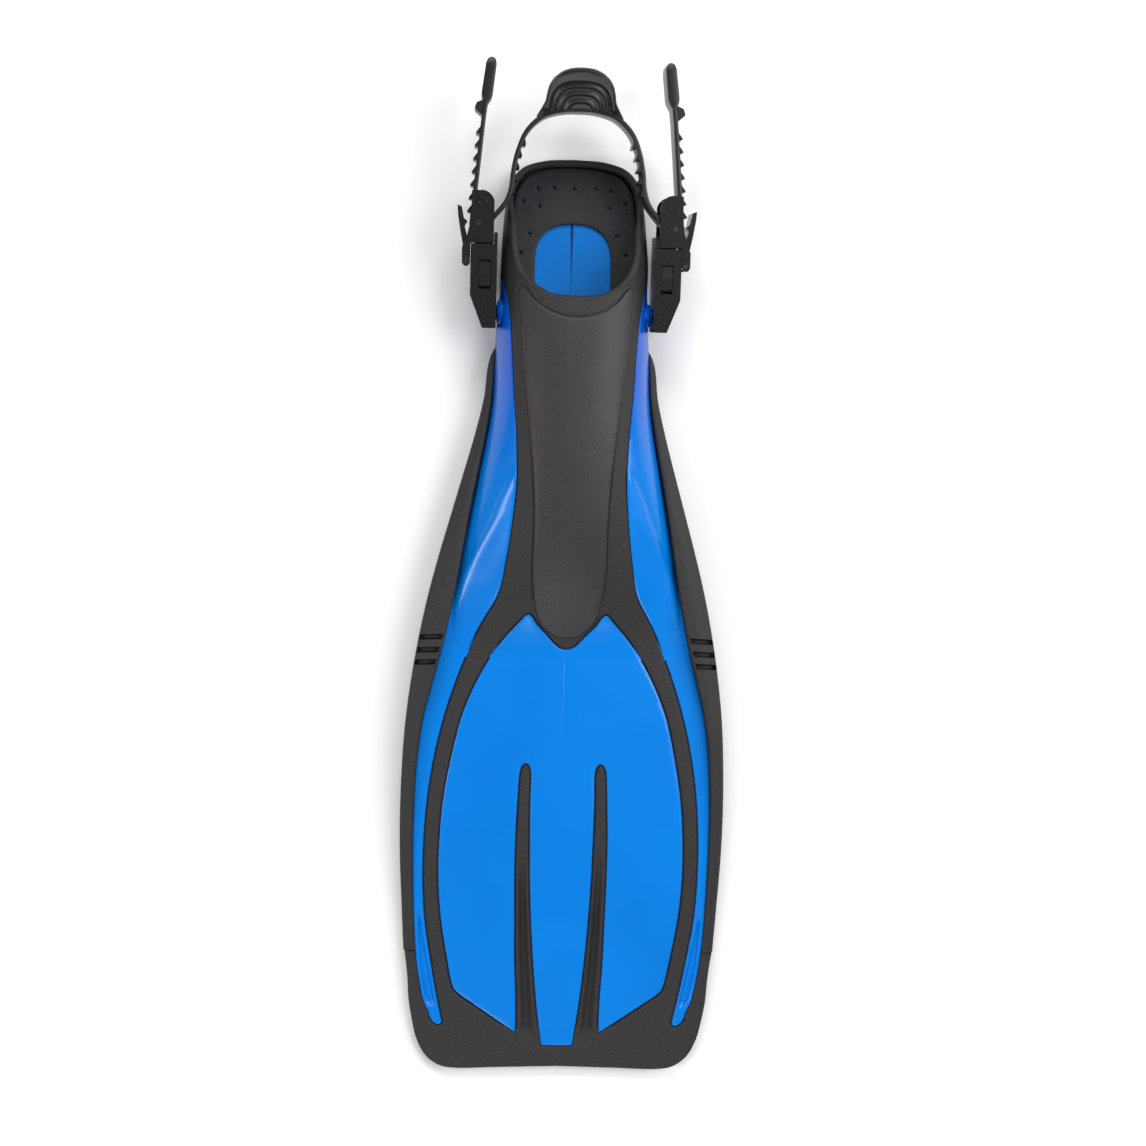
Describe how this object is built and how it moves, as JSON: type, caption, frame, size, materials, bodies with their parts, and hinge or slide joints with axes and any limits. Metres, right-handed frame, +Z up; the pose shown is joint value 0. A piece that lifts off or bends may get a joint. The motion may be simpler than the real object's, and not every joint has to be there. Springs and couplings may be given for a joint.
{
  "type": "swim fin",
  "caption": "Open-heel swim fin with a rubber foot pocket, a glossy blue plastic blade with black rubber channels and side rails, and a ratchet heel strap on quick-release buckles.",
  "frame": {"origin": "centre of the bounding box, on the floor the fin lies on", "axes": "+X to the right of the fin seen from above with the heel up, +Y from the blade tip towards the heel, +Z up, away from the floor"},
  "size_m": [0.2116, 0.6544, 0.0773],
  "materials": {
    "blue_plastic": "glossy moulded plastic",
    "black_rubber": "fine grained matte rubber",
    "strap_rubber": "smooth matte rubber",
    "buckle_plastic": "fine satin moulded plastic",
    "steel": "stainless steel"
  },
  "bodies": {
    "fin": {"blade_frame": "blue_plastic", "foot_pocket": "black_rubber", "footbed": "black_rubber", "instep_panel": "black_rubber", "blade_trim": "black_rubber", "rail_left": "black_rubber", "rail_right": "black_rubber"},
    "buckle_left": {"receiver_left": "buckle_plastic"},
    "buckle_right": {"receiver_right": "buckle_plastic"},
    "strap": {"heel_strap": "strap_rubber", "strap_frame_left": "buckle_plastic", "roller_pin_left": "steel", "lever_pin_left": "steel", "lever_spring_left": "steel", "strap_frame_right": "buckle_plastic", "roller_pin_right": "steel", "lever_pin_right": "steel", "lever_spring_right": "steel"},
    "latch_up_left": {"latch_arm_upper_left": "buckle_plastic"},
    "latch_low_left": {"latch_arm_lower_left": "buckle_plastic"},
    "roller_left": {"strap_roller_left": "buckle_plastic"},
    "lever_left": {"pawl_lever_left": "buckle_plastic"},
    "latch_up_right": {"latch_arm_upper_right": "buckle_plastic"},
    "latch_low_right": {"latch_arm_lower_right": "buckle_plastic"},
    "roller_right": {"strap_roller_right": "buckle_plastic"},
    "lever_right": {"pawl_lever_right": "buckle_plastic"}
  },
  "joints": [
    {"name": "strap_swing_left", "type": "hinge", "parent": "fin", "child": "buckle_left", "pos_m": [-0.0545, 0.1675, 0.03], "axis": [1, 0, 0], "range_deg": [-1.5, 95]},
    {"name": "strap_swing_right", "type": "hinge", "parent": "fin", "child": "buckle_right", "pos_m": [0.0545, 0.1675, 0.03], "axis": [1, 0, 0], "range_deg": [-1.5, 95]},
    {"name": "buckle_release", "type": "slide", "parent": "buckle_left", "child": "strap", "axis": [0, 0.9903, 0.1392], "range_m": [0, 0.036], "deforming": ["latch_arm_upper_left", "latch_arm_upper_right", "latch_arm_lower_left", "latch_arm_lower_right"]},
    {"name": "button_upper_left", "type": "hinge", "parent": "strap", "child": "latch_up_left", "pos_m": [-0.05825, 0.20803, 0.0463], "axis": [1, 0, 0], "range_deg": [0, 8], "stiffness_Nm_per_rad": 0.3},
    {"name": "button_lower_left", "type": "hinge", "parent": "strap", "child": "latch_low_left", "pos_m": [-0.05825, 0.21095, 0.0255], "axis": [-1, 0, 0], "range_deg": [0, 8], "stiffness_Nm_per_rad": 0.3},
    {"name": "roller_turn_left", "type": "hinge", "parent": "strap", "child": "roller_left", "pos_m": [-0.0627, 0.22246, 0.03772], "axis": [0, -0.1392, 0.9903], "continuous": true},
    {"name": "lever_lift_left", "type": "hinge", "parent": "strap", "child": "lever_left", "pos_m": [-0.0703, 0.19968, 0.03452], "axis": [0, -0.1392, 0.9903], "range_deg": [0, 15], "stiffness_Nm_per_rad": 0.1, "springref_deg": -9.74},
    {"name": "button_upper_right", "type": "hinge", "parent": "strap", "child": "latch_up_right", "pos_m": [0.05825, 0.20803, 0.0463], "axis": [1, 0, 0], "range_deg": [0, 8], "stiffness_Nm_per_rad": 0.3},
    {"name": "button_lower_right", "type": "hinge", "parent": "strap", "child": "latch_low_right", "pos_m": [0.05825, 0.21095, 0.0255], "axis": [-1, 0, 0], "range_deg": [0, 8], "stiffness_Nm_per_rad": 0.3},
    {"name": "roller_turn_right", "type": "hinge", "parent": "strap", "child": "roller_right", "pos_m": [0.0627, 0.22246, 0.03772], "axis": [0, -0.1392, 0.9903], "continuous": true},
    {"name": "lever_lift_right", "type": "hinge", "parent": "strap", "child": "lever_right", "pos_m": [0.0703, 0.19968, 0.03452], "axis": [0, 0.1392, -0.9903], "range_deg": [0, 15], "stiffness_Nm_per_rad": 0.1, "springref_deg": -9.74}
  ],
  "couplings": [
    {"joint": "strap_swing_right", "follows": "strap_swing_left", "ratio": 1}
  ]
}
